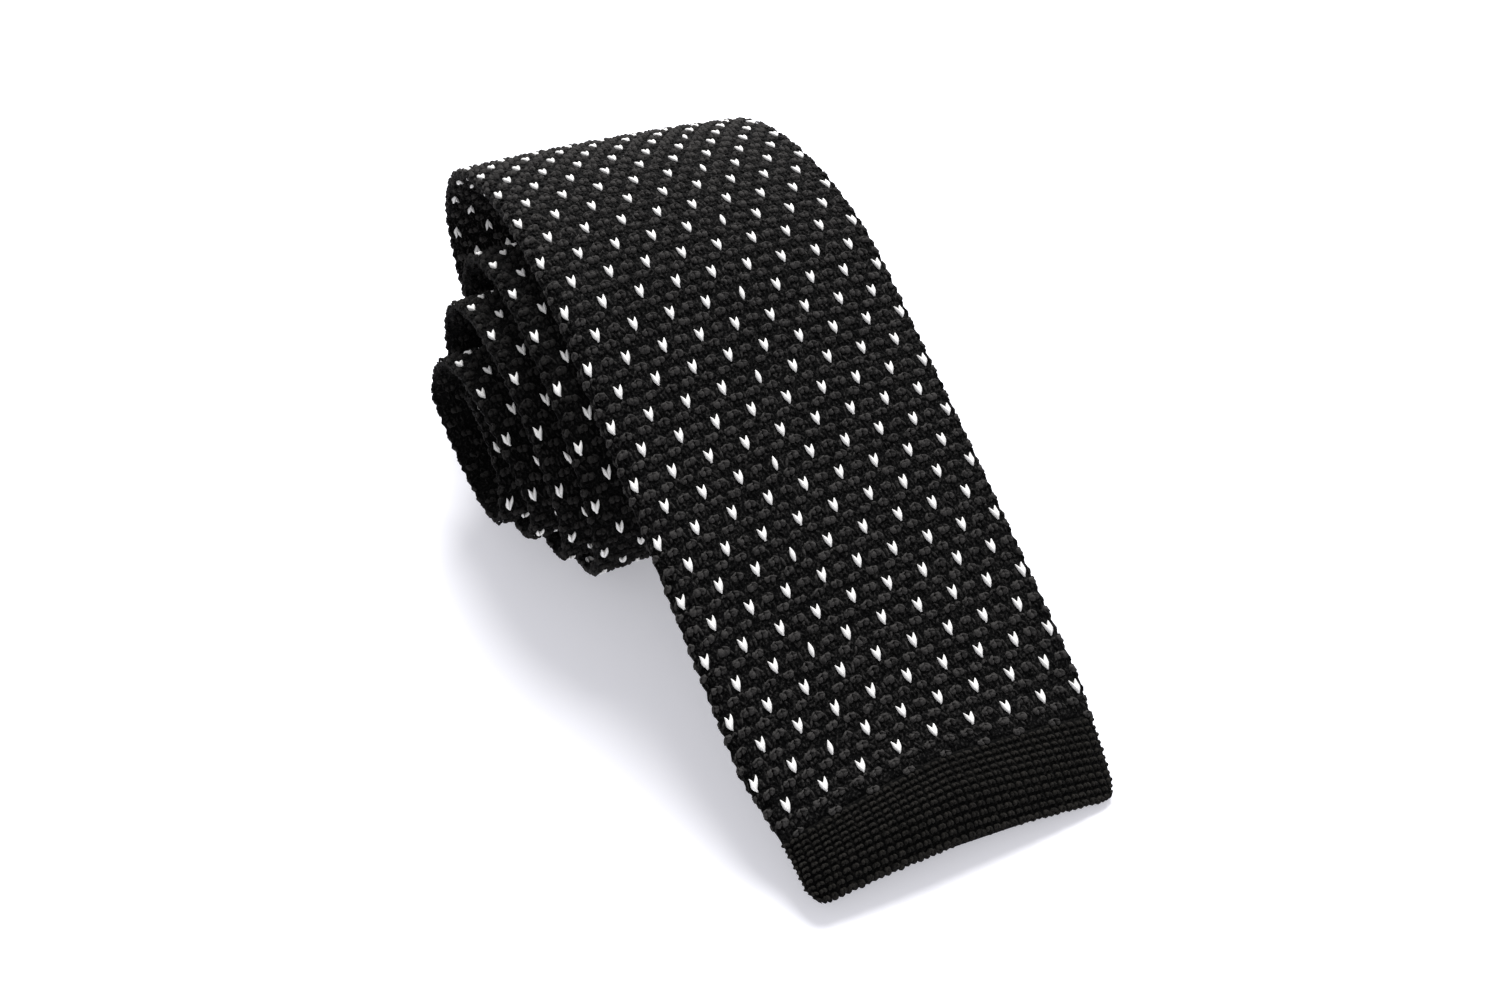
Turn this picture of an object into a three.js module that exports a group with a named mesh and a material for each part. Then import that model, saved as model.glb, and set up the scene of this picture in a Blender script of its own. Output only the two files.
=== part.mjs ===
// A knitted, square-ended necktie, rolled up loosely with its wide end left free as a ramp.
//
// The tie is one long flat tube of knit. It is laid out here as a strip that follows a side
// outline in the YZ plane: a straight ramp from the wide end, then a spiral of ovals that
// shrink turn by turn. X runs across the strip, Y from the wide end to the back of the roll.

import * as THREE from 'three';

// Driving dimensions, in millimetres and degrees.
const thickness = 2.4;          // two layers of knit, pressed flat
const layerGap = 0.4;           // air between two turns that lie on each other
const cutGap = 0.3;             // between two lengths of the strip
const sideRound = 1.2;          // how far the thin side edges reach in from the sides
const sideThickness = 1.4;      // thickness of the strip at its side edges
const bladeWidth = 60;
const bandEndWidth = 54;        // the plain band pulls in towards the wide end
const neckWidth = 40;
const tailWidth = 46;
const bandLength = 14.5;        // plain band at each end
const bladeLength = 440;        // from the wide end to where the tie starts to narrow
const taperLength = 100;        // from blade width to neck width, and from neck to tail width
const neckLength = 90;
const rampSlope = 32;           // of the free wide end, against the table
const facetLength = 4.2;        // longest facet along the strip
const stepsPerTurn = 360;       // of the traced outline
const rampStep = 1;             // of the traced outline on the ramp
const tableFlat = 0.3;          // how far the lowest cloth is pressed flat by the table

const keeperPlace = 211;        // along the strip, from the wide end
const keeperBand = 12;          // the loop's own width, along the tie
const keeperSpan = 46;          // across the tie
const keeperThickness = 0.8;
const keeperSlack = 2.6;        // room for the tail between the loop and the tie's back
const tackLength = 2.4;         // the sewn-down stub at each end of the loop
const labelPlace = 228;
const labelLength = 22;
const labelSpan = 34;
const labelThickness = 0.5;
const seat = 0.3;               // between a sewn-on piece and the cloth under it

// The roll's ovals, from the outermost turn inwards. front, back and top are where an oval's
// middle surface would reach if the cloth inside the roll had no thickness, level counts the
// layers under it, tilt leans it back, and out is how far its left edge stands out beyond the
// blade's.
const ovals = [
  { turn: 0.0, front: 69.7, back: 122.3, level: 0, top: 26.5, tilt: 0, out: 0 },
  { turn: 0.3, front: 68.8, back: 123.2, level: 0, top: 27.4, tilt: 0, out: 1 },
  { turn: 0.85, front: 63.3, back: 101.7, level: 0, top: 22.7, tilt: 14, out: 5 },
  { turn: 1.35, front: 64.9, back: 100.1, level: 1.1, top: 22.4, tilt: 14, out: 5.5 },
  { turn: 1.85, front: 67, back: 98.5, level: 1.8, top: 19.8, tilt: 12, out: 8.5 },
  { turn: 2.35, front: 69.1, back: 96.9, level: 2.5, top: 18, tilt: 10, out: 12 },
  { turn: 2.85, front: 70.7, back: 95.3, level: 3.2, top: 14.2, tilt: 8, out: 11.5 },
  { turn: 3.35, front: 72.3, back: 93.7, level: 3.8, top: 10.4, tilt: 6, out: 17.5 },
  { turn: 3.85, front: 73.9, back: 92.1, level: 4.4, top: 7.4, tilt: 4, out: 15 },
  { turn: 4.85, front: 74.6, back: 91.4, level: 5.4, top: 6, tilt: 2, out: 8 },
  { turn: 5.6, front: 75.5, back: 90.5, level: 6.5, top: 4.8, tilt: 0, out: 4 },
];
const innermost = ovals[ovals.length - 1];

// Where the strip's left side is and how wide it is: band, blade, taper, neck, taper, tail.
const taperEnd = bladeLength + taperLength;
const neckEnd = taperEnd + neckLength;
const sides = [
  { length: 0, left: -bandEndWidth / 2, width: bandEndWidth },
  { length: bandLength, left: -bladeWidth / 2, width: bladeWidth },
  { length: bladeLength, left: -bladeWidth / 2, width: bladeWidth },
  { length: taperEnd, left: -bladeWidth / 2, width: neckWidth },
  { length: neckEnd, left: -bladeWidth / 2, width: neckWidth },
  { length: neckEnd + taperLength, left: -bladeWidth / 2, width: tailWidth },
];

// ---------------------------------------------------------------- the strip's side outline

const radians = THREE.MathUtils.degToRad;

// Straight-line interpolation of one value of a list of keys.
function between(keys, at, place, value) {
  const next = keys.findIndex((key) => key[at] >= place);
  if (next === 0) return keys[0][value];
  if (next < 0) return keys[keys.length - 1][value];
  const from = keys[next - 1];
  const to = keys[next];
  return THREE.MathUtils.mapLinear(place, from[at], to[at], from[value], to[value]);
}

// The point of the spiral at a count of turns. The heading falls by 360 degrees a turn, and
// the point is where the oval of that moment has that heading.
function spiralPoint(turn) {
  const oval = (value) => between(ovals, 'turn', turn, value);
  const pitch = thickness + layerGap;
  const clothInside = (innermost.turn - turn) * pitch;
  const front = oval('front') - clothInside;
  const back = oval('back') + clothInside;
  const bottom = thickness / 2 + oval('level') * pitch;
  const top = oval('top') + innermost.level * pitch + clothInside;
  const tilt = radians(oval('tilt'));
  const reachY = (back - front) / 2;
  const reachZ = (top - bottom) / 2;
  const cos2 = Math.cos(tilt) ** 2;
  const sin2 = Math.sin(tilt) ** 2;
  const longSquared = (reachY ** 2 * cos2 - reachZ ** 2 * sin2) / (cos2 - sin2);
  const shortSquared = (reachZ ** 2 * cos2 - reachY ** 2 * sin2) / (cos2 - sin2);
  const normal = radians(rampSlope - 360 * turn + 90) - tilt;
  const pull = Math.hypot(
    Math.sqrt(longSquared) * Math.cos(normal),
    Math.sqrt(shortSquared) * Math.sin(normal),
  );
  const along = (longSquared * Math.cos(normal)) / pull;
  const up = (shortSquared * Math.sin(normal)) / pull;
  return {
    y: (front + back) / 2 + along * Math.cos(tilt) - up * Math.sin(tilt),
    z: (top + bottom) / 2 + along * Math.sin(tilt) + up * Math.cos(tilt),
    out: oval('out'),
  };
}

// The whole outline as closely spaced points, each with its length from the wide end.
function tracePath() {
  const crown = spiralPoint(0);
  const slope = radians(rampSlope);
  const rampLength = (crown.z - thickness / 2) / Math.sin(slope);
  const points = [];
  for (let length = rampLength; length > 0; length -= rampStep) {
    points.push({
      y: crown.y - length * Math.cos(slope),
      z: crown.z - length * Math.sin(slope),
      out: 0,
      turn: 0,
    });
  }
  const steps = Math.round(innermost.turn * stepsPerTurn);
  for (let step = 0; step <= steps; step += 1) {
    const turn = (step / steps) * innermost.turn;
    points.push({ ...spiralPoint(turn), turn });
  }
  points[0].length = 0;
  for (let i = 1; i < points.length; i += 1) {
    const gone = Math.hypot(points[i].y - points[i - 1].y, points[i].z - points[i - 1].z);
    points[i].length = points[i - 1].length + gone;
  }
  return points;
}

const path = tracePath();
const tieLength = path[path.length - 1].length;

// Place, outward normal and left side of the strip at a length from the wide end.
function pathAt(length) {
  const at = (value, place) => between(path, 'length', place, value);
  const ahead = Math.min(length + rampStep / 2, tieLength);
  const behind = Math.max(length - rampStep / 2, 0);
  const dy = at('y', ahead) - at('y', behind);
  const dz = at('z', ahead) - at('z', behind);
  const run = Math.hypot(dy, dz);
  return {
    y: at('y', length),
    z: at('z', length),
    normalY: -dz / run,
    normalZ: dy / run,
    left: between(sides, 'length', length, 'left') - at('out', length),
    middle: -at('out', length),
  };
}

function lengthAtTurn(turn) {
  return between(path, 'turn', turn, 'length');
}

// ---------------------------------------------------------------- building one length

// A flat box bent along the strip. columns are the places across it, each with its x and its
// height; lift raises the whole piece off the strip's middle surface. The table presses flat
// whatever would reach lower than tableFlat.
function bentBox(from, to, columnsAt, lift = 0) {
  const facets = Math.max(2, Math.ceil((to - from) / facetLength));
  const gaps = columnsAt(from, pathAt(from)).length - 1;
  const geometry = new THREE.BoxGeometry(1, 1, 1, gaps, facets, 1);
  const place = geometry.attributes.position;
  for (let i = 0; i < place.count; i += 1) {
    const length = from + (place.getY(i) + 0.5) * (to - from);
    const spot = pathAt(length);
    const column = columnsAt(length, spot)[Math.round((place.getX(i) + 0.5) * gaps)];
    const rise = lift + place.getZ(i) * column.height;
    const z = Math.max(spot.z + spot.normalZ * rise, tableFlat);
    place.setXYZ(i, column.x, spot.y + spot.normalY * rise, z);
  }
  geometry.computeVertexNormals();
  return geometry;
}

// Across the whole width of the tie, thinner at the two sides.
function wholeWidth(length, spot) {
  const right = spot.left + between(sides, 'length', length, 'width');
  return [
    { x: spot.left, height: sideThickness },
    { x: spot.left + sideRound, height: thickness },
    { x: right - sideRound, height: thickness },
    { x: right, height: sideThickness },
  ];
}

// Across a set span, counted from the middle of the blade.
function span(from, to, height) {
  return (length, spot) => [
    { x: spot.middle + from, height },
    { x: spot.middle + to, height },
  ];
}

const tie = new THREE.Group();

function addPiece(name, geometry, colour, roughness) {
  const material = new THREE.MeshStandardMaterial({ color: colour, roughness, metalness: 0 });
  const mesh = new THREE.Mesh(geometry, material);
  mesh.name = name;
  tie.add(mesh);
}

const patterned = 0x1c1b1b;
const plain = 0x161616;
const ribbon = 0x0e0e10;
const thread = 0x222224;

// ---------------------------------------------------------------- the lengths of the strip

// Where each length of knit ends, counted from the wide end.
const cuts = [
  ['wide_end_band', bandLength, plain],
  ['blade_ramp', lengthAtTurn(0.02), patterned],
  ['blade_crown', lengthAtTurn(0.24), patterned],
  ['blade_back', lengthAtTurn(0.48), patterned],
  ['blade_underside', lengthAtTurn(0.74), patterned],
  ['second_turn_front', lengthAtTurn(1.0), patterned],
  ['second_turn_top', lengthAtTurn(1.24), patterned],
  ['second_turn_back', lengthAtTurn(1.48), patterned],
  ['third_turn_under', lengthAtTurn(1.73), patterned],
  ['third_turn_front', lengthAtTurn(1.98), patterned],
  ['third_turn_top', lengthAtTurn(2.23), patterned],
  ['third_turn_back', lengthAtTurn(2.48), patterned],
  ['fourth_turn_under', lengthAtTurn(2.73), patterned],
  ['fourth_turn_front', lengthAtTurn(2.98), patterned],
  ['fourth_turn_back', lengthAtTurn(3.48), patterned],
  ['fifth_turn_front', lengthAtTurn(3.98), patterned],
  ['neck_turn', lengthAtTurn(4.48), patterned],
  ['tail_front', lengthAtTurn(4.98), patterned],
  ['tail_back', tieLength - bandLength, patterned],
  ['tail_end_band', tieLength + cutGap, plain],
];

let start = 0;
for (const [name, end, colour] of cuts) {
  addPiece(name, bentBox(start, end - cutGap, wholeWidth), colour, 0.95);
  start = end;
}

// ---------------------------------------------------------------- sewn on the blade's back

// The keeper is a loop of ribbon for the tail, so its middle stands off the tie's back.
const underside = -thickness / 2 - seat;
const tackHeight = keeperSlack + keeperThickness;
const loopEnd = keeperSpan / 2 - tackLength;
const keeperEnd = keeperPlace + keeperBand;
addPiece(
  'keeper_loop',
  bentBox(
    keeperPlace,
    keeperEnd,
    span(-loopEnd, loopEnd, keeperThickness),
    underside - keeperSlack - keeperThickness / 2,
  ),
  ribbon,
  0.7,
);

const tackSpans = {
  keeper_tack_left: [-keeperSpan / 2, -loopEnd - cutGap],
  keeper_tack_right: [loopEnd + cutGap, keeperSpan / 2],
};
for (const [name, [from, to]] of Object.entries(tackSpans)) {
  const tack = bentBox(
    keeperPlace,
    keeperEnd,
    span(from, to, tackHeight),
    underside - tackHeight / 2,
  );
  addPiece(name, tack, thread, 0.9);
}

const label = bentBox(
  labelPlace,
  labelPlace + labelLength,
  span(-labelSpan / 2, labelSpan / 2, labelThickness),
  underside - labelThickness / 2,
);
addPiece('blank_label', label, ribbon, 0.6);

// The origin is on the table, under the middle of the whole object's box.
tie.updateMatrixWorld(true);
const box = new THREE.Box3().setFromObject(tie);
const middle = box.getCenter(new THREE.Vector3());
tie.position.set(-middle.x, -middle.y, -box.min.z);

export default tie;
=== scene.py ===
import math
from collections import namedtuple

import bpy
import numpy as np
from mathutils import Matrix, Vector


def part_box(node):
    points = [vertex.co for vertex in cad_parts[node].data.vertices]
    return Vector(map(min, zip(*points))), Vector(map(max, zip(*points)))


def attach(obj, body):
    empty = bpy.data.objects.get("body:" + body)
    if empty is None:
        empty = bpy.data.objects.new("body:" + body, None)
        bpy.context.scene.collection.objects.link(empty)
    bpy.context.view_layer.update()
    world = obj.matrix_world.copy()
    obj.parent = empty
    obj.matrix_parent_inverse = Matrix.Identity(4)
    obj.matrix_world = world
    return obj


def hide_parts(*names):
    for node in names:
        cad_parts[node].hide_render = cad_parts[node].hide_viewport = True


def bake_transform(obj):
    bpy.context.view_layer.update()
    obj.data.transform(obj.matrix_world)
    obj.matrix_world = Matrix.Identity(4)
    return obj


# A knitted necktie, rolled up loosely, with its wide end left free as a ramp. The cloth is one
# strip that follows the same side outline as the CAD lengths. Its stitches are laid out flat,
# in millimetres across (x) and along (s) the strip, and bent onto it by cloth().

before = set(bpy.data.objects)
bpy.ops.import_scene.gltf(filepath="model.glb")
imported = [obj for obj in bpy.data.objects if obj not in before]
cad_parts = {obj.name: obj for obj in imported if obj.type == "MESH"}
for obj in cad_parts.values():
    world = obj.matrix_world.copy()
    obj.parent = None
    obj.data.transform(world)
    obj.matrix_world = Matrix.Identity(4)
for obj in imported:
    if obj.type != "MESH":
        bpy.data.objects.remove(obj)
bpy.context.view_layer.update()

MM = 0.001

# ------------------------------------------------------------------ sizes, in millimetres

THICKNESS = 2.4
LAYER_GAP = 0.4        # between turns that lie on each other
TABLE_FLAT = 0.3       # how far the roll's lowest place is pressed flat
BLADE_WIDTH = 60.0
BAND_END_WIDTH = 54.0  # the wide end, drawn in by its plain band
NECK_WIDTH = 40.0
TAIL_WIDTH = 46.0
BAND_LENGTH = 13.5     # what shows of the plain band, a little less than its 14.5 mm cut
BLADE_LENGTH = 440.0   # from the wide end to where the tie starts to narrow
TAPER_LENGTH = 100.0   # on either side of the neck
NECK_LENGTH = 90.0
RAMP_SLOPE = 32.0      # the free end's, in degrees

WALE = 1.65            # one column of stitches
ROW = 4.94             # one row of white stitches, which is four rows of knitting
FIRST_ROW = 18.3       # the white stitches nearest the wide end
BAND_WALE = 1.46       # the plain bands are knitted finer
BAND_COURSE = 1.22
CORE_HALF = 0.62       # half the thickness of the cloth under its stitches
CORE_INSET = 0.45      # how far in from the sides that cloth ends
RIGHT_SAG = 4.6        # how much lower the crown lies on its right
END_ARCH = 5.8         # how far the middle of the wide end stands up
ARCH_LENGTH = 34.0     # how far along the strip the arch goes
END_DROOP = 2.6        # how far its last edge hangs down again
DROOP_FROM = 8.0       # where along the strip the edge starts to hang
DROOP_LENGTH = 9.0
END_SKEW = 3.2         # how far down the wide end's right corner is pulled
SKEW_LENGTH = 60.0     # how far along the strip that pull goes
END_LEFT = 1.7         # how far up its left corner is drawn
LEFT_LENGTH = 16.0     # where along the strip the left side has slipped down instead
LEFT_SLIP = 1.6        # how far down the rows slip at the ramp's left side
SLIP_KEEPS = 70.0      # where along the strip that slip starts to fade
SLIP_FADE = 60.0
CORNER = 3.4           # radius of the wide end's corners
SIDE_INSET = 1.05      # how far in from its sides the cloth starts to turn over
SIDE_TURN = 0.85       # radius on which stitches go round a side
SIDE_PINCH = 0.22      # the share by which they come nearer the cloth at the side itself
SCALLOP = 0.2          # how far the sides' edge goes in and out between rows
SCALLOP_POWER = 9      # keeps that to the sides
SIDE_REACH = 2.2       # how far round a side the outer face's stitches go
WHITE_REACH = 0.9      # the same for the white stitches of the outer turn
EDGE_INSET = 0.2       # from an end of the strip to the middle of its loops
WHITE_CLEAR = 0.5      # how far from the sides' turn other white stitches stay
FLOOR_SOFTNESS = 0.25  # how gently the cloth comes down onto the table

BACK = 1.5             # from the strip's middle to what is sewn on its back
KEEPER_PLACE = 211.0   # where along the strip the keeper starts
KEEPER_BAND = 12.0     # the width of its ribbon
KEEPER_SPAN = 46.0     # across the tie
KEEPER_THICKNESS = 0.8
KEEPER_SLACK = 2.6     # room for the tail in the keeper
KEEPER_RISE = 7.0      # the length over which the ribbon rises from a tack
TACK_LENGTH = 2.4
TACK_LEVEL = 0.5       # from the tie's back to the ribbon's middle at a tack
THREAD_PITCH = 0.62    # between the threads of a tack
LABEL_PLACE = 228.0    # where along the strip the label starts
LABEL_LENGTH = 22.0
LABEL_SPAN = 34.0
LABEL_THICKNESS = 0.5
HEM_PITCH = 2.2        # between the stitches along the label's hems
HEM_INSET = 1.0        # from the label's edges to those stitches

# The roll's ovals, as in the CAD, each at a count of turns: its front and back, how many layers it
# lies above the table, its top, its tilt in degrees, and how far its left side sticks out.
OVALS = np.array([
    (0.00, 69.7, 122.3, 0.0, 26.5, 0, 0.0),
    (0.30, 68.8, 123.2, 0.0, 27.4, 0, 1.0),
    (0.85, 63.3, 101.7, 0.0, 22.7, 14, 5.0),
    (1.35, 64.9, 100.1, 1.1, 22.4, 14, 5.5),
    (1.85, 67.0, 98.5, 1.8, 19.8, 12, 8.5),
    (2.35, 69.1, 96.9, 2.5, 18.0, 10, 12.0),
    (2.85, 70.7, 95.3, 3.2, 14.2, 8, 11.5),
    (3.35, 72.3, 93.7, 3.8, 10.4, 6, 17.5),
    (3.85, 73.9, 92.1, 4.4, 7.4, 4, 15.0),
    (4.85, 74.6, 91.4, 5.4, 6.0, 2, 8.0),
    (5.60, 75.5, 90.5, 6.5, 4.8, 0, 4.0),
])
LAST_TURN = OVALS[-1, 0]
LAST_LEVEL = OVALS[-1, 3]

TAPER_END = BLADE_LENGTH + TAPER_LENGTH
NECK_END = TAPER_END + NECK_LENGTH

# The strip's two sides: lengths along it, and how far each side is from the blade's middle there.
# Past the wide end the left side stays straight, and the right side comes in at the neck.
HALF_END = BAND_END_WIDTH / 2
HALF_BLADE = BLADE_WIDTH / 2
NECK_SIDE = NECK_WIDTH - HALF_BLADE
LEFT_AT = np.array([0, BAND_LENGTH, BAND_LENGTH + 12])
LEFT_SIDE = np.array([HALF_END, HALF_END + 0.8, HALF_BLADE])
RIGHT_AT = np.array([
    0, BAND_LENGTH, BAND_LENGTH + 6, BLADE_LENGTH, TAPER_END, NECK_END, NECK_END + TAPER_LENGTH,
])
RIGHT_SIDE = np.array([
    HALF_END, HALF_END + 2, HALF_BLADE, HALF_BLADE,
    NECK_SIDE, NECK_SIDE, TAIL_WIDTH - HALF_BLADE,
])


# ------------------------------------------------------------------ the strip's side outline

def spiral(turn):
    """Middle points of the spiral at counts of turns, in the outline's own y and z."""
    front, back, level, top, tilt, out = (
        np.interp(turn, OVALS[:, 0], OVALS[:, k]) for k in range(1, 7)
    )
    pitch = THICKNESS + LAYER_GAP
    inside = (LAST_TURN - turn) * pitch
    front = front - inside
    back = back + inside
    bottom = THICKNESS / 2 + level * pitch
    top = top + LAST_LEVEL * pitch + inside
    tilt = np.radians(tilt)
    reach_y = (back - front) / 2
    reach_z = (top - bottom) / 2
    cos2 = np.cos(tilt) ** 2
    sin2 = np.sin(tilt) ** 2
    long2 = (reach_y ** 2 * cos2 - reach_z ** 2 * sin2) / (cos2 - sin2)
    short2 = (reach_z ** 2 * cos2 - reach_y ** 2 * sin2) / (cos2 - sin2)
    normal = np.radians(RAMP_SLOPE - 360 * turn + 90) - tilt
    pull = np.hypot(np.sqrt(long2) * np.cos(normal), np.sqrt(short2) * np.sin(normal))
    along = long2 * np.cos(normal) / pull
    up = short2 * np.sin(normal) / pull
    y = (front + back) / 2 + along * np.cos(tilt) - up * np.sin(tilt)
    z = (top + bottom) / 2 + along * np.sin(tilt) + up * np.cos(tilt)
    return y, z, out


def trace_outline():
    """The outline as rows: length, y, z, heading in radians, left side's reach, turn. It goes up
    the straight ramp first, and then round the spiral."""
    turn = np.linspace(0, LAST_TURN, int(LAST_TURN * 360) + 1)
    y, z, out = spiral(turn)
    slope = math.radians(RAMP_SLOPE)
    before = np.arange((z[0] - THICKNESS / 2) / math.sin(slope), 0, -1.0)
    y = np.concatenate([y[0] - before * math.cos(slope), y])
    z = np.concatenate([z[0] - before * math.sin(slope), z])
    out = np.concatenate([np.zeros(len(before)), out])
    turn = np.concatenate([np.zeros(len(before)), turn])
    length = np.concatenate([[0], np.cumsum(np.hypot(np.diff(y), np.diff(z)))])
    heading = np.unwrap(np.arctan2(np.gradient(z, length), np.gradient(y, length)))
    return np.stack([length, y, z, heading, out, turn])


OUTLINE = trace_outline()
TIE_LENGTH = OUTLINE[0, -1]
TIP_Y = OUTLINE[1, 0] - math.sin(math.radians(RAMP_SLOPE)) * THICKNESS / 2
MOVE_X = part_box("blade_ramp")[1].x / MM - HALF_BLADE
MOVE_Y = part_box("wide_end_band")[0].y / MM - TIP_Y
CROWN_Z = OUTLINE[2].max() + THICKNESS / 2


def length_at(turn):
    """Length along the strip at a count of turns."""
    rolled = OUTLINE[5] > 0
    return float(np.interp(turn, OUTLINE[5, rolled], OUTLINE[0, rolled]))


def sides_at(s):
    """Left and right side of the strip at lengths s, counted from the blade's middle."""
    return -np.interp(s, LEFT_AT, LEFT_SIDE), np.interp(s, RIGHT_AT, RIGHT_SIDE)


def smooth(t):
    """From 0 to 1, level at both ends."""
    t = np.clip(t, 0, 1)
    return t * t * (3 - 2 * t)


def round_sides(x, s, h):
    """Places past the strip's sides, brought round its two edges."""
    left, right = sides_at(s)
    low = left + SIDE_INSET
    high = right - SIDE_INSET
    beyond = x - np.clip(x, low, high)
    angle = np.minimum(np.abs(beyond) / SIDE_TURN, math.pi)
    reach = np.abs(h) * (1 - SIDE_PINCH * np.sin(angle))
    around = np.clip(x, low, high) + np.sign(beyond) * reach * np.sin(angle)
    return around, s, h * np.cos(angle)


def round_corners(x, s):
    """The wide end's two square corners, rounded."""
    left, right = sides_at(s)
    over = np.clip((np.maximum(x - right, left - x) + CORNER) / CORNER, 0, 1.2)
    back = np.clip((CORNER - s) / CORNER, 0, 1.2)
    pull_x = CORNER * over * (1 - np.sqrt(1 - np.minimum(back, 1) ** 2 / 2))
    pull_s = CORNER * back * (1 - np.sqrt(1 - np.minimum(over, 1) ** 2 / 2))
    return x - np.sign(x) * pull_x, s + pull_s


def cloth(x, s, h):
    """Points in the row frame, in metres, of places x across, s along and h off the strip."""
    x, s, h = np.broadcast_arrays(*(np.asarray(v, float) for v in (x, s, h)))
    x, s = round_corners(x, s)
    scallop = SCALLOP * np.abs(x / HALF_BLADE) ** SCALLOP_POWER * np.sin(4 * math.pi * s / ROW)
    x = x + np.sign(x) * scallop
    across = x / HALF_BLADE

    # The rows slip along the strip towards its sides.
    right_skew = -END_SKEW * (1 - smooth(s / SKEW_LENGTH))
    left_skew = END_LEFT - (END_LEFT + LEFT_SLIP) * smooth(s / LEFT_LENGTH)
    left_skew = left_skew * (1 - smooth((s - SLIP_KEEPS) / SLIP_FADE))
    near_end = 1 - smooth(s / ARCH_LENGTH)
    s = s + np.where(across > 0, right_skew, left_skew) * np.abs(across)

    inside = np.clip(s, 0, TIE_LENGTH)
    y, z, heading, out = (np.interp(inside, OUTLINE[0], OUTLINE[k]) for k in range(1, 5))
    beyond = s - inside
    droop = END_DROOP * smooth((DROOP_FROM - s) / DROOP_LENGTH)
    arch = (END_ARCH * near_end ** 2 - droop) * (1 - across ** 2)
    y = y + beyond * np.cos(heading) - h * np.sin(heading)
    z = z + beyond * np.sin(heading) + h * np.cos(heading) + arch
    from_left = np.clip((x + HALF_BLADE) / BLADE_WIDTH, 0, 1.05)
    z = z - RIGHT_SAG * from_left ** 2 * (z / CROWN_Z) ** 2

    # Nothing goes through the table: low places bend gently onto it.
    above = z - TABLE_FLAT
    above = 0.5 * (above + np.hypot(above, FLOOR_SOFTNESS))
    return np.stack([(x - out + MOVE_X) * MM, (y + MOVE_Y) * MM, above * MM], axis=-1)


# ------------------------------------------------------------------ materials

FIBRES_PER_METRE = 2300
FIBRE_CONTRAST = 2.8    # how far the fibres move a stitch's shade, from -half to half of this


def new_material(name, roughness, sheen=0.0):
    """A Principled material, with its nodes, its links and its shader."""
    material = bpy.data.materials.new(name)
    material.use_nodes = True
    nodes = material.node_tree.nodes
    shader = nodes["Principled BSDF"]
    shader.inputs["Roughness"].default_value = roughness
    shader.inputs["Specular IOR Level"].default_value = 0.06
    shader.inputs["Sheen Weight"].default_value = sheen
    shader.inputs["Sheen Roughness"].default_value = 0.5
    return material, nodes, material.node_tree.links, shader


def noise(nodes, links, scale, detail):
    """A noise texture in the object's own coordinates, scale in cells per metre."""
    place = nodes.new("ShaderNodeTexCoord")
    texture = nodes.new("ShaderNodeTexNoise")
    texture.inputs["Scale"].default_value = scale
    texture.inputs["Detail"].default_value = detail
    links.new(place.outputs["Object"], texture.inputs["Vector"])
    return texture.outputs["Fac"]


def colour_ramp(nodes, links, value, stops):
    """Colours for a value from 0 to 1. stops are pairs of a position and its colour."""
    node = nodes.new("ShaderNodeValToRGB")
    elements = node.color_ramp.elements
    while len(elements) < len(stops):
        elements.new(0.5)
    for element, (position, colour) in zip(elements, stops):
        element.position = position
        element.color = (*colour, 1)
    links.new(value, node.inputs["Fac"])
    return node.outputs["Color"]


def roughen(nodes, links, shader, height, strength, distance):
    """A fine bump from a height output, distance in metres."""
    bump = nodes.new("ShaderNodeBump")
    bump.inputs["Strength"].default_value = strength
    bump.inputs["Distance"].default_value = distance
    links.new(height, bump.inputs["Height"])
    links.new(bump.outputs["Normal"], shader.inputs["Normal"])


def yarn_material(name, dark, light):
    """Fuzzy yarn: each stitch has its own shade, and fibres vary it."""
    material, nodes, links, shader = new_material(name, 0.95, 0.015)
    shade = nodes.new("ShaderNodeAttribute")
    shade.attribute_name = "shade"
    fibres = noise(nodes, links, FIBRES_PER_METRE, 6)
    mottle = nodes.new("ShaderNodeMath")
    mottle.operation = "MULTIPLY_ADD"
    mottle.inputs[1].default_value = FIBRE_CONTRAST
    links.new(fibres, mottle.inputs[0])
    shifted = nodes.new("ShaderNodeMath")
    shifted.operation = "SUBTRACT"
    shifted.inputs[1].default_value = FIBRE_CONTRAST / 2
    links.new(shade.outputs["Fac"], shifted.inputs[0])
    links.new(shifted.outputs[0], mottle.inputs[2])
    colour = colour_ramp(nodes, links, mottle.outputs[0], [(0.0, dark), (1.0, light)])
    links.new(colour, shader.inputs["Base Color"])
    roughen(nodes, links, shader, fibres, 0.9, 0.0003)
    return material


def white_material():
    """White yarn, a little cream between its fibres."""
    material, nodes, links, shader = new_material("white_yarn", 0.85, 0.05)
    fibres = noise(nodes, links, 4200, 3)
    stops = [(0.2, (0.80, 0.78, 0.73)), (0.6, (0.92, 0.915, 0.90))]
    colour = colour_ramp(nodes, links, fibres, stops)
    links.new(colour, shader.inputs["Base Color"])
    roughen(nodes, links, shader, fibres, 0.35, 0.0002)
    return material


def ribbon_material():
    """Woven ribbon: fine ribs along it."""
    material, nodes, links, shader = new_material("ribbon", 0.6, 0.2)
    place = nodes.new("ShaderNodeTexCoord")
    ribs = nodes.new("ShaderNodeTexWave")
    ribs.inputs["Scale"].default_value = 700
    ribs.inputs["Distortion"].default_value = 0.4
    links.new(place.outputs["Object"], ribs.inputs["Vector"])
    stops = [(0.0, (0.008, 0.008, 0.009)), (1.0, (0.03, 0.03, 0.034))]
    colour = colour_ramp(nodes, links, ribs.outputs["Fac"], stops)
    links.new(colour, shader.inputs["Base Color"])
    roughen(nodes, links, shader, ribs.outputs["Fac"], 0.5, 0.0002)
    return material


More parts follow.
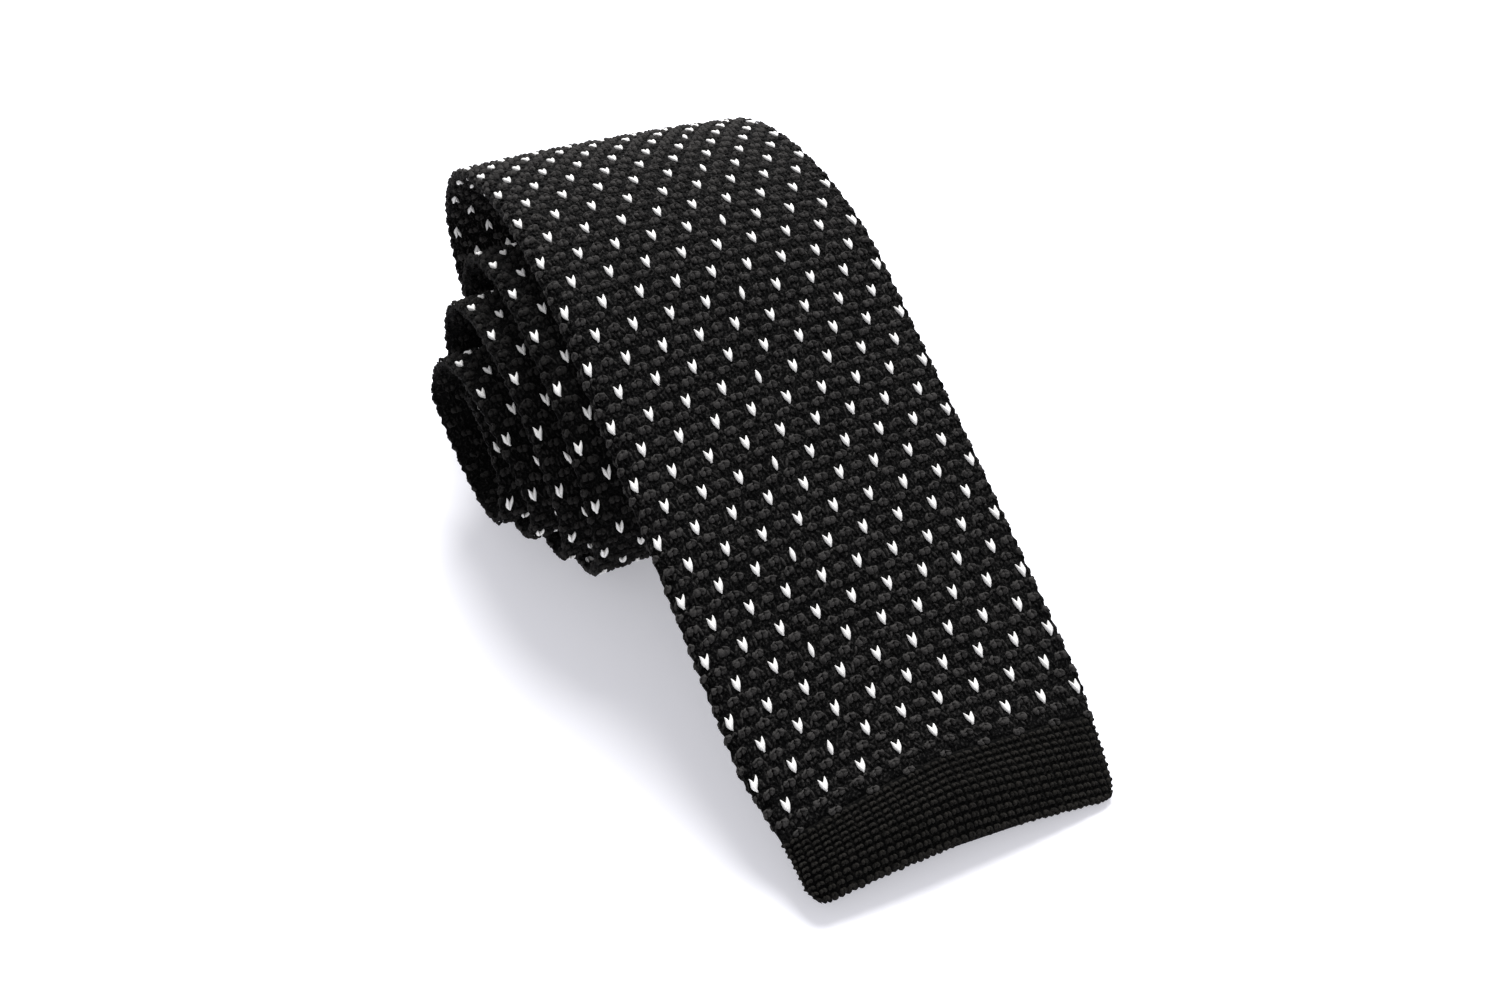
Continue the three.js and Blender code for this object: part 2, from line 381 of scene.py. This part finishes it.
KNIT = yarn_material("charcoal_yarn", (0.0014, 0.0014, 0.0015), (0.046, 0.044, 0.0425))
# A darker copy of the charcoal yarn: painted shade for the turns deep inside the roll.
SHADED_INNER_YARN = yarn_material("inner_yarn_painted_shade", (0.0012, 0.0012, 0.0012), (0.022, 0.021, 0.020))
BAND = yarn_material("black_yarn", (0.0012, 0.0012, 0.0012), (0.020, 0.0185, 0.0165))
WHITE = white_material()
RIBBON = ribbon_material()
THREAD = yarn_material("black_thread", (0.006, 0.006, 0.006), (0.05, 0.05, 0.052))


# ------------------------------------------------------------------ mesh helpers

STRIP_STEP = 1.2        # between the points along the cloth, in millimetres
STRIP_COLUMNS = 26      # points across each of its faces
PAINTED_TOP_LIGHT = 0.12       # painted highlight: how much lighter a stitch is painted at its top than at its rim
LOBE_LEVEL = 0.6        # where up a stitch the painted highlight adds nothing to its own shade


def new_piece(name, points, faces, material, shade=None):
    """One smooth mesh object. shade is a value for each point, which the yarns take up."""
    mesh = bpy.data.meshes.new(name)
    mesh.from_pydata(points, [], faces)
    mesh.update()
    mesh.polygons.foreach_set("use_smooth", np.ones(len(mesh.polygons), bool))
    mesh.materials.append(material)
    if shade is not None:
        attribute = mesh.attributes.new("shade", "FLOAT", "POINT")
        attribute.data.foreach_set("value", np.asarray(shade, np.float32))
    piece = bpy.data.objects.new(name, mesh)
    bpy.context.scene.collection.objects.link(piece)
    return piece


def dome(segments, rings, down=0.0):
    """A unit dome: points (along, across, up) and triangles. down is how far its rim goes on."""
    points = [(0.0, 0.0, 1.0)]
    for ring in range(1, rings + 1):
        angle = ring / rings * (math.pi / 2 + down)
        for k in range(segments):
            turn = 2 * math.pi * (k + 0.5 * (ring % 2)) / segments
            flat = math.sin(angle)
            points.append((flat * math.cos(turn), flat * math.sin(turn), math.cos(angle)))
    faces = [(0, 1 + k, 1 + (k + 1) % segments) for k in range(segments)]
    for ring in range(rings - 1):
        a = 1 + ring * segments
        b = a + segments
        step = ring % 2
        for k in range(segments):
            n = (k + 1) % segments
            if step:
                faces += [(a + k, b + k, a + n), (b + k, b + n, a + n)]
            else:
                faces += [(a + k, b + k, b + n), (a + k, b + n, a + n)]
    return np.array(points), np.array(faces)


def leaf(form, pinch_tip, pinch_foot):
    """A dome drawn in towards its two ends."""
    points, faces = form
    along = points[:, 0]
    narrow = 1 - np.where(along > 0, pinch_tip, pinch_foot) * np.abs(along) ** 1.5
    whole_size = np.ones(len(points))
    return points * np.stack([whole_size, narrow, whole_size], axis=1), faces


LEAF = leaf(dome(12, 4, 0.3), 0.8, 0.4)    # half of a white V
PLAIN = dome(7, 3)                         # a stitch of a plain band, or of thread
STRAND = dome(6, 2)                        # a strand of the patterned knit
BALL = dome(8, 4, math.pi / 2 - 0.01)      # a loop along an end, closed underneath


# Where a row of lobes has what is set by itself.
ACROSS = 0
ALONG = 1
LEAN = 3
SIZES = slice(4, 7)
SHADE = 7


def lay(name, lobes, form, material, side=1):
    """One piece of many lobes. lobes has a row each: x, s, h, lean in degrees, half length,
    half width, half height, shade. side is 1 for the outer face and -1 for the inner one."""
    lobes = np.asarray(lobes, float)
    x, s, h, lean, length, width, height, shade = (lobes[:, k, None] for k in range(8))
    points, faces = form
    u, v, w = points.T
    lean = np.radians(lean)
    along = length * u * np.cos(lean) - width * v * np.sin(lean)
    over = length * u * np.sin(lean) + width * v * np.cos(lean)
    place = cloth(*round_sides(x + over, s + along, side * (h + height * w)))
    index = np.arange(len(lobes))[:, None, None] * len(points)
    order = faces if side > 0 else faces[:, ::-1]
    # Each lobe's own shade, plus a painted highlight that grows towards its top.
    shade_and_top_light = shade + PAINTED_TOP_LIGHT * (np.broadcast_to(w, along.shape) - LOBE_LEVEL)
    return new_piece(
        name, place.reshape(-1, 3), (index + order).reshape(-1, 3), material, shade_and_top_light.ravel()
    )


def strip(name, s_from, s_to, material, step=STRIP_STEP):
    """The closed cloth under the stitches, from one length to another, thinner at its sides."""
    s = np.linspace(s_from, s_to, max(2, int((s_to - s_from) / step) + 1))
    columns = STRIP_COLUMNS
    across = np.concatenate([np.linspace(0, 1, columns), np.linspace(1, 0, columns)])
    level = np.concatenate([np.full(columns, 1.0), np.full(columns, -1.0)])
    at_side = np.minimum(across, 1 - across) * (columns - 1) < 0.5
    level = level * np.where(at_side, 0.45, 1.0)
    left, right = sides_at(s)
    width = (right - left - 2 * CORE_INSET)[:, None]
    points = cloth(left[:, None] + CORE_INSET + across * width, s[:, None], level * CORE_HALF)
    n = len(across)
    faces = []
    for i in range(len(s) - 1):
        for k in range(n):
            a = i * n + k
            b = i * n + (k + 1) % n
            faces.append((a, a + n, b + n, b))
    last = (len(s) - 1) * n
    faces.append(tuple(range(n)))
    faces.append(tuple(last + k for k in reversed(range(n))))
    # Shade 0, the yarn's darkest: painted shade in the gaps between the stitches.
    return new_piece(name, points.reshape(-1, 3), faces, material, np.zeros(len(s) * n))


# ------------------------------------------------------------------ the knit

# A stitch is two strands, one on each side of its column. ahead is how far along the strip it lies
# from its row, apart is from the column to each strand, lean is in degrees, length, width and
# height are halves, and level is how high above the cloth's middle it starts.
Stitch = namedtuple("Stitch", "ahead apart lean length width height shade level", defaults=[0.55])


def tuft(ahead):
    """A raised loop: two full strands, and two thin light ones over its head."""
    return [
        Stitch(ahead, 0.50, 24, 0.68, 0.56, 0.50, 0.80, 0.68),
        Stitch(ahead + 0.34, 0.42, -54, 0.62, 0.19, 0.50, 1.10, 0.78),
    ]


# What a row has in the columns between the white ones, and in a white column with and without
# its V.
PLAIN_COLUMN = [
    Stitch(-0.33, 0.40, 14, 0.95, 0.26, 0.42, 0.28),
    *tuft(-2.17),
    Stitch(-3.35, 0.36, 24, 0.56, 0.25, 0.38, 0.12),
]
BEHIND_V = [
    Stitch(-3.0, 0.36, 20, 0.66, 0.24, 0.38, 0.16),
    Stitch(-1.75, 0.20, -40, 0.42, 0.24, 0.36, 0.42),
]
WITHOUT_V = [
    *tuft(0.27),
    Stitch(-0.96, 0.40, 26, 0.60, 0.25, 0.38, 0.14),
    Stitch(-2.36, 0.36, 22, 0.62, 0.25, 0.38, 0.16),
]
WHITE_V = Stitch(0, 0.26, 16, 1.28, 0.38, 0.50, 1.0, 0.66)
CLOSED_V = (0.66, 3, 1.30, 0.46, 0.50, 1.0)    # a single lobe's h, lean, sizes and shade
BAND_STITCH = Stitch(0, 0.26, -34, 0.46, 0.33, 0.50, 0.66, 0.62)

# How far stitches differ from each other.
SHADE_SPREAD = 0.26
PLACE_SPREAD = 0.13
LEAN_SPREAD = 14
SIZE_SPREAD = 0.18
WHITE_LEAN_SPREAD = 4
WHITE_PLACE_SPREAD = 0.12
BAND_PLACE_SPREAD = 0.07
BAND_LEAN_SPREAD = 12
EDGE_PLACE_SPREAD = 0.1
EDGE_SHADE_SPREAD = 0.2


def wobble(count, seed):
    """Repeatable small differences between stitches, from -1 to 1."""
    return np.random.default_rng(seed).uniform(-1, 1, count)


def strands(x, s, stitch):
    """The two lobes of a stitch, in lay()'s order."""
    return [
        (
            x + side * stitch.apart, s + stitch.ahead, stitch.level, side * stitch.lean,
            stitch.length, stitch.width, stitch.height, stitch.shade,
        )
        for side in (-1, 1)
    ]


def kept(lobes, s_from, s_to, x_keep, past):
    """The lobes between two lengths, where x_keep says so. past is how far they go on beyond
    the flat of the cloth, round its sides."""
    x = lobes[:, ACROSS]
    s = lobes[:, ALONG]
    left, right = sides_at(s)
    margin = SIDE_INSET - past
    fits = (x > left + margin) & (x < right - margin) & (s > s_from) & (s < s_to)
    return lobes[fits & x_keep(x, left, right)]


def knit_lobes(s_from, s_to, x_keep, past, white_past):
    """Dark and white lobes of the pattern between two lengths. past and white_past are how far
    each goes round the sides. Every other column is a white one. It has a V in every other row,
    and the white columns beside it have theirs in the rows between."""
    dark = []
    white = []
    half_wales = math.ceil((HALF_BLADE + past) / WALE)
    first = math.floor((s_from - FIRST_ROW) / ROW) - 1
    last = math.ceil((s_to - FIRST_ROW) / ROW) + 1
    for wale in range(-half_wales, half_wales + 1):
        x = wale * WALE
        for row in range(first, last + 1):
            s = FIRST_ROW + row * ROW
            if wale % 2 == 0:
                column = PLAIN_COLUMN
            elif ((wale + 3) // 2 - row) % 2 == 0:
                column = BEHIND_V
                if (7 * wale + 5 * row) % 29 == 0:
                    white.append((x, s, *CLOSED_V))
                else:
                    white += strands(x, s, WHITE_V)
            else:
                column = WITHOUT_V
            for stitch in column:
                dark += strands(x, s, stitch)

    dark = kept(np.array(dark), s_from, s_to, x_keep, past)
    white = kept(np.array(white), s_from, s_to, x_keep, white_past)
    dark[:, SHADE] += SHADE_SPREAD * wobble(len(dark), 3)
    dark[:, ACROSS] += PLACE_SPREAD * wobble(len(dark), 4)
    dark[:, ALONG] += PLACE_SPREAD * wobble(len(dark), 5)
    dark[:, LEAN] += LEAN_SPREAD * wobble(len(dark), 6)
    dark[:, SIZES] *= 1 + SIZE_SPREAD * wobble(len(dark), 9)[:, None]
    white[:, LEAN] += WHITE_LEAN_SPREAD * wobble(len(white), 7)
    white[:, ALONG] += WHITE_PLACE_SPREAD * wobble(len(white), 8)
    return dark, white


def whole(x, left, right):
    """All of the way across."""
    return np.full(len(x), True)


def near_sides(reach):
    """Only as far in from the two sides as can be seen in a roll."""
    return lambda x, left, right: (x < left + reach) | (x > right - reach)


def knit_length(name, s_from, s_to, nodes, outer, inner, inmost=False):
    """One length of patterned knit: its cloth, and dark and white stitches on both faces. outer
    and inner say where each face has them. The inmost turns get a darker copy of the yarn,
    which paints the shade inside the roll; their white stitches stay clear of their sides, and
    their inner face has none."""
    # The inmost turns take the darker yarn: painted shade inside the roll.
    yarn = SHADED_INNER_YARN if inmost else KNIT
    under = strip(name + "_cloth", s_from, s_to, yarn)
    white_past = -WHITE_CLEAR if inmost else WHITE_REACH
    dark, white = knit_lobes(s_from, s_to, outer, SIDE_REACH, white_past)
    pieces = [
        lay(name + "_stitches", dark, STRAND, yarn),
        lay(name + "_white_stitches", white, LEAF, WHITE),
    ]
    dark, white = knit_lobes(s_from, s_to, inner, 0, -WHITE_CLEAR)
    pieces.append(lay(name + "_back_stitches", dark, STRAND, yarn, -1))
    if not inmost:
        pieces.append(lay(name + "_back_white_stitches", white, LEAF, WHITE, -1))
    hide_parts(*nodes)
    return under, pieces


# Where one length of cloth ends and the next begins.
CROWN_END = length_at(0.24)
UNDERSIDE_END = length_at(0.74)
ROLL_END = length_at(1.30)
CORE_START = length_at(1.73)
TAIL_BAND = TIE_LENGTH - BAND_LENGTH

front, front_with = knit_length(
    "blade_front", BAND_LENGTH, CROWN_END, ["blade_ramp", "blade_crown"], whole, near_sides(24)
)
for piece in [front] + front_with:
    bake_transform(piece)

rest, rest_with = knit_length(
    "blade_rest", CROWN_END, UNDERSIDE_END,
    ["blade_back", "blade_underside"], whole, near_sides(24),
)
for piece in [rest] + rest_with:
    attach(piece, "roll")

second, second_with = knit_length(
    "second_turn", UNDERSIDE_END, ROLL_END,
    ["second_turn_front", "second_turn_top"], near_sides(24), near_sides(12), inmost=True,
)
for piece in [second] + second_with:
    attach(piece, "roll")

link, link_with = knit_length(
    "turn_link", ROLL_END, CORE_START,
    ["second_turn_back", "third_turn_under"], near_sides(18), near_sides(12), inmost=True,
)
for piece in [link] + link_with:
    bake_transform(piece)

core, core_with = knit_length(
    "inner_turns", CORE_START, TAIL_BAND,
    [
        "third_turn_front", "third_turn_top", "third_turn_back", "fourth_turn_under",
        "fourth_turn_front", "fourth_turn_back", "fifth_turn_front", "neck_turn",
        "tail_front", "tail_back",
    ],
    near_sides(20), near_sides(10), inmost=True,
)
for piece in [core] + core_with:
    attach(piece, "core")


# ------------------------------------------------------------------ the plain bands

def band_lobes(s_from, s_to, past):
    """Small arched stitches set close, in columns and rows."""
    rows = []
    wales = math.ceil(HALF_END / BAND_WALE) + 3
    for s in np.arange(s_from + 0.5, s_to, BAND_COURSE):
        left, right = sides_at(s)
        middle = (left + right) / 2
        reach = (right - left) / 2 - SIDE_INSET + past
        for wale in range(-wales, wales + 1):
            x = wale * BAND_WALE
            if abs(x) < reach:
                rows += strands(x + middle, s, BAND_STITCH)
    rows = np.array(rows)
    rows[:, ACROSS] += BAND_PLACE_SPREAD * wobble(len(rows), 21)
    rows[:, LEAN] += BAND_LEAN_SPREAD * wobble(len(rows), 22)
    rows[:, SHADE] += SHADE_SPREAD * wobble(len(rows), 23)
    return rows


def end_lobes(s, seed):
    """The rounded edge of yarn along an end: loops set close in one line."""
    left, right = (float(v) for v in sides_at(s))
    x = np.arange(left + 0.6, right - 0.4, BAND_WALE * 0.75)
    rows = np.zeros((len(x), 8))
    rows[:, ACROSS] = x
    rows[:, ALONG] = s + EDGE_PLACE_SPREAD * wobble(len(x), seed)
    rows[:, SIZES] = (0.62, 0.60, 0.98)
    rows[:, SHADE] = 0.46 + EDGE_SHADE_SPREAD * wobble(len(x), seed + 1)
    return rows


def plain_band(name, s_from, s_to, end, node):
    """A plain band: its cloth, the stitches on both faces, and the loops along its end."""
    under = strip(name + "_cloth", s_from, s_to, BAND, step=0.8)
    pieces = [
        lay(name + "_stitches", band_lobes(s_from, s_to, SIDE_REACH), PLAIN, BAND),
        lay(name + "_back_stitches", band_lobes(s_from, s_to, 0), PLAIN, BAND, -1),
        lay(name + "_edge", end_lobes(end, 24), BALL, BAND),
    ]
    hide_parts(node)
    return under, pieces


band, band_with = plain_band("wide_end", 0, BAND_LENGTH, EDGE_INSET, "wide_end_band")
for piece in [band] + band_with:
    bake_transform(piece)

tail, tail_with = plain_band(
    "tail_end", TAIL_BAND, TIE_LENGTH, TIE_LENGTH - EDGE_INSET, "tail_end_band"
)
for piece in [tail] + tail_with:
    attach(piece, "core")


# ------------------------------------------------------------------ sewn on the blade's back

def tape(name, s_from, s_to, half_span, level_at, thickness, material):
    """A closed length of ribbon across the tie's back, level_at(x) under the strip's middle. Its
    section has flat faces and rounded edges."""
    x = np.linspace(-half_span, half_span, 64)
    edge = thickness / 2
    around = np.linspace(0, 2 * math.pi, 40, endpoint=False)
    half = (s_to - s_from) / 2
    flat = (s_from + s_to) / 2 + (half - edge) * np.clip(1.6 * np.cos(around), -1, 1)
    s = flat + edge * np.cos(around)
    lift = edge * np.clip(3 * np.sin(around), -1, 1)
    points = cloth(x[:, None], s, lift - level_at(x)[:, None])
    n = len(around)
    faces = []
    for i in range(len(x) - 1):
        for k in range(n):
            a = i * n + k
            b = i * n + (k + 1) % n
            faces.append((a, b, b + n, a + n))
    last = (len(x) - 1) * n
    faces.append(tuple(reversed(range(n))))
    faces.append(tuple(last + k for k in range(n)))
    piece = new_piece(name, points.reshape(-1, 3), faces, material)
    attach(piece, "roll")
    return piece


def stitches(name, places, lean, length, level, width=0.26):
    """Sewing thread on the tie's back: a short stitch at each place (x, s)."""
    rows = [(x, s, level, lean, length, width, 0.3, 0.7) for x, s in places]
    piece = lay(name, rows, PLAIN, THREAD, -1)
    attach(piece, "roll")
    return piece


def keeper_level(x):
    """How far under the strip's middle the keeper's ribbon runs, close to it at the tacks."""
    loose = smooth((KEEPER_SPAN / 2 - 1 - np.abs(x)) / KEEPER_RISE)
    return BACK + TACK_LEVEL + (KEEPER_SLACK + KEEPER_THICKNESS / 2 - TACK_LEVEL) * loose


keeper = tape(
    "keeper_ribbon", KEEPER_PLACE, KEEPER_PLACE + KEEPER_BAND, KEEPER_SPAN / 2 - 0.4,
    keeper_level, KEEPER_THICKNESS, RIBBON,
)
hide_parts("keeper_loop")

tack_rows = np.arange(KEEPER_PLACE + 0.8, KEEPER_PLACE + KEEPER_BAND - 0.4, THREAD_PITCH)
for side, node in ((-1, "keeper_tack_left"), (1, "keeper_tack_right")):
    middle = side * (KEEPER_SPAN / 2 - TACK_LENGTH / 2)
    tack = stitches(
        node + "_thread", [(middle, s) for s in tack_rows], 90, TACK_LENGTH / 2,
        BACK + TACK_LEVEL + KEEPER_THICKNESS / 2,
    )
    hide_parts(node)

label = tape(
    "label_ribbon", LABEL_PLACE, LABEL_PLACE + LABEL_LENGTH, LABEL_SPAN / 2,
    lambda x: np.full(len(x), BACK + LABEL_THICKNESS / 2), LABEL_THICKNESS, RIBBON,
)
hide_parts("blank_label")
hem = [
    (x, s)
    for s in (LABEL_PLACE + HEM_INSET, LABEL_PLACE + LABEL_LENGTH - HEM_INSET)
    for x in np.arange(-LABEL_SPAN / 2 + 1.5, LABEL_SPAN / 2 - 1, HEM_PITCH)
]
hem_thread = stitches("label_thread", hem, 90, 0.7, BACK + LABEL_THICKNESS, 0.2)


# ------------------------------------------------------------------ stage, light and camera

def make_stage():
    """A pale floor that glows a little, so that the shadow on it stays pale."""
    bpy.ops.mesh.primitive_plane_add(size=6, location=(0, 0, -0.0001))
    floor = bpy.context.object
    floor.name = "floor"
    material, _, _, shader = new_material("floor_paper", 1.0)
    shader.inputs["Base Color"].default_value = (0.8, 0.8, 0.83, 1)
    shader.inputs["Specular IOR Level"].default_value = 0.0
    shader.inputs["Emission Color"].default_value = (0.94, 0.94, 1, 1)
    shader.inputs["Emission Strength"].default_value = 0.34
    floor.data.materials.append(material)


def add_light(name, place, size, power):
    """A round soft light, pointed at the roll's foot."""
    data = bpy.data.lights.new(name, "AREA")
    data.shape = "DISK"
    data.size = size
    data.energy = power
    light = bpy.data.objects.new(name, data)
    light.location = place
    light.rotation_euler = (LIT_POINT - Vector(place)).to_track_quat("-Z", "Y").to_euler()
    bpy.context.scene.collection.objects.link(light)


LIT_POINT = Vector((0, 0, 0.02))

make_stage()
add_light("key", (0.28, 0.46, 0.78), 0.55, 14)
add_light("fill", (-0.5, -0.6, 0.8), 0.9, 1.5)

world = bpy.data.worlds.new("studio")
world.use_nodes = True
background = world.node_tree.nodes["Background"]
background.inputs["Color"].default_value = (0.95, 0.95, 1, 1)
background.inputs["Strength"].default_value = 0.5
bpy.context.scene.world = world
bpy.context.scene.view_settings.view_transform = "Standard"

CAMERA_PLACE = (-0.06839, -0.15486, 0.18060)
YAW = math.radians(26.517)       # to the right of straight ahead
PITCH = math.radians(44.705)     # down from level
camera_data = bpy.data.cameras.new("camera")
camera_data.lens = 31.2
camera_data.sensor_width = 36
camera_data.clip_start = 0.01
camera = bpy.data.objects.new("camera", camera_data)
camera.location = CAMERA_PLACE
look = Vector((
    math.sin(YAW) * math.cos(PITCH),
    math.cos(YAW) * math.cos(PITCH),
    -math.sin(PITCH),
))
camera.rotation_mode = "QUATERNION"
camera.rotation_quaternion = look.to_track_quat("-Z", "Y")
bpy.context.scene.collection.objects.link(camera)
bpy.context.scene.camera = camera
